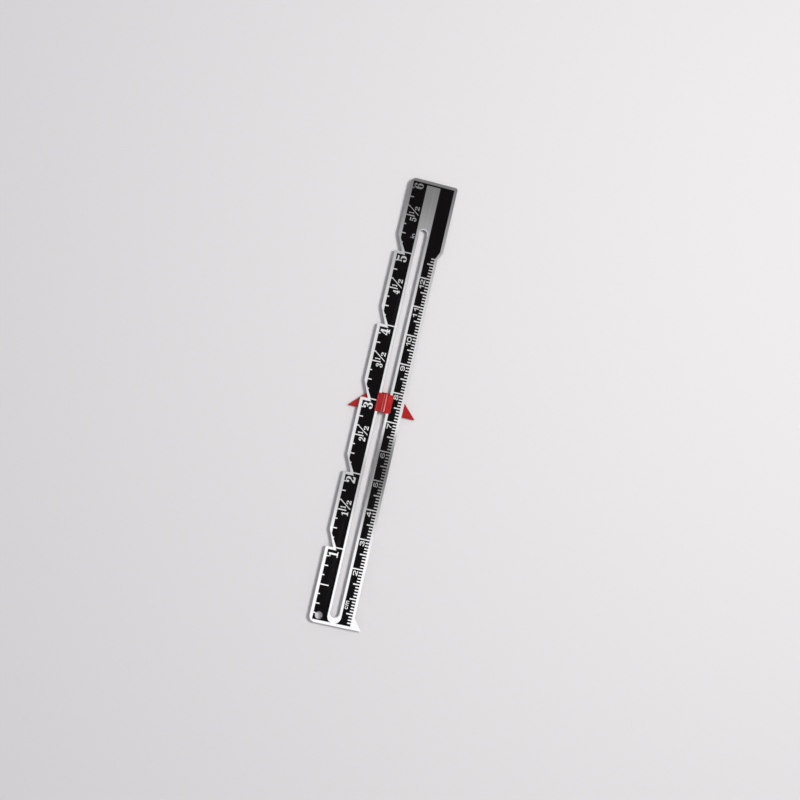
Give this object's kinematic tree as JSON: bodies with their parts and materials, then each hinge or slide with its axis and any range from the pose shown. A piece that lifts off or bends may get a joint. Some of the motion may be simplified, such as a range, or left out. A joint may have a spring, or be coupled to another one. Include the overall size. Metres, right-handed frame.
{
  "type": "sewing gauge",
  "caption": "Stepped and slotted aluminium ruler with inch and centimetre scales and a pointer that slides along its slot.",
  "frame": {"origin": "on the slot's centre line, half way along the plate, level with the underside of the slider", "axes": "+Y along the plate towards the six inch end, +Z out of the printed face, +X towards the centimetre edge"},
  "size_m": [0.0228, 0.1528, 0.0036],
  "materials": {
    "plate_metal": "satin, bare metal",
    "black_print": "printed black, low sheen",
    "slider_plastic": "moulded red, glossy"
  },
  "bodies": {
    "gauge": {"gauge_plate": "plate_metal", "scale_print": "black_print"},
    "slider": {"slider_button": "slider_plastic", "slider_pointer": "slider_plastic"}
  },
  "joints": [
    {"name": "slider_travel", "type": "slide", "parent": "gauge", "child": "slider", "axis": [0, 1, 0], "range_m": [-0.0695, 0.0566]}
  ]
}
